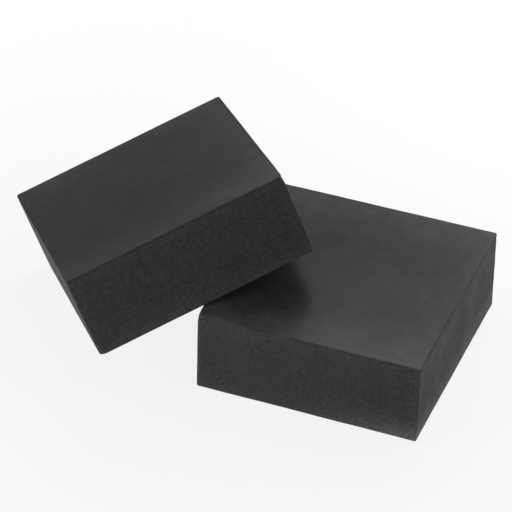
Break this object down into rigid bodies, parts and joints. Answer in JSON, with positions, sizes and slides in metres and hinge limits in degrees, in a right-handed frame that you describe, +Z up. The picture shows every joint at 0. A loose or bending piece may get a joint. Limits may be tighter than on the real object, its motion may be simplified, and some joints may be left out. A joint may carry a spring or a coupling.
{
  "type": "foam balance pad",
  "caption": "Square balance pad of firm charcoal foam lying flat, with a matching pad leaning on its edge: a soft, unstable surface to stand on in balance training.",
  "frame": {"origin": "middle of the flat pad's underside, on the floor", "axes": "+Z up, +X along the flat pad's front edge away from the leaning pad, +Y towards the flat pad's back"},
  "size_m": [0.6791, 0.4606, 0.2961],
  "materials": {
    "cut_foam": "matte cut closed-cell foam with fine open cells",
    "foam_skin": "satin moulded foam skin"
  },
  "bodies": {
    "flat_pad": {"flat_pad_core": "cut_foam", "flat_pad_upper_skin": "foam_skin", "flat_pad_lower_skin": "foam_skin"},
    "leaning_pad": {"leaning_pad_core": "cut_foam", "leaning_pad_upper_skin": "foam_skin", "leaning_pad_lower_skin": "foam_skin"}
  },
  "joints": [
    {"name": "leaning_pad_lift", "type": "slide", "parent": "flat_pad", "child": "leaning_pad", "axis": [0, 0, 1], "range_m": [0, 0.2]}
  ]
}
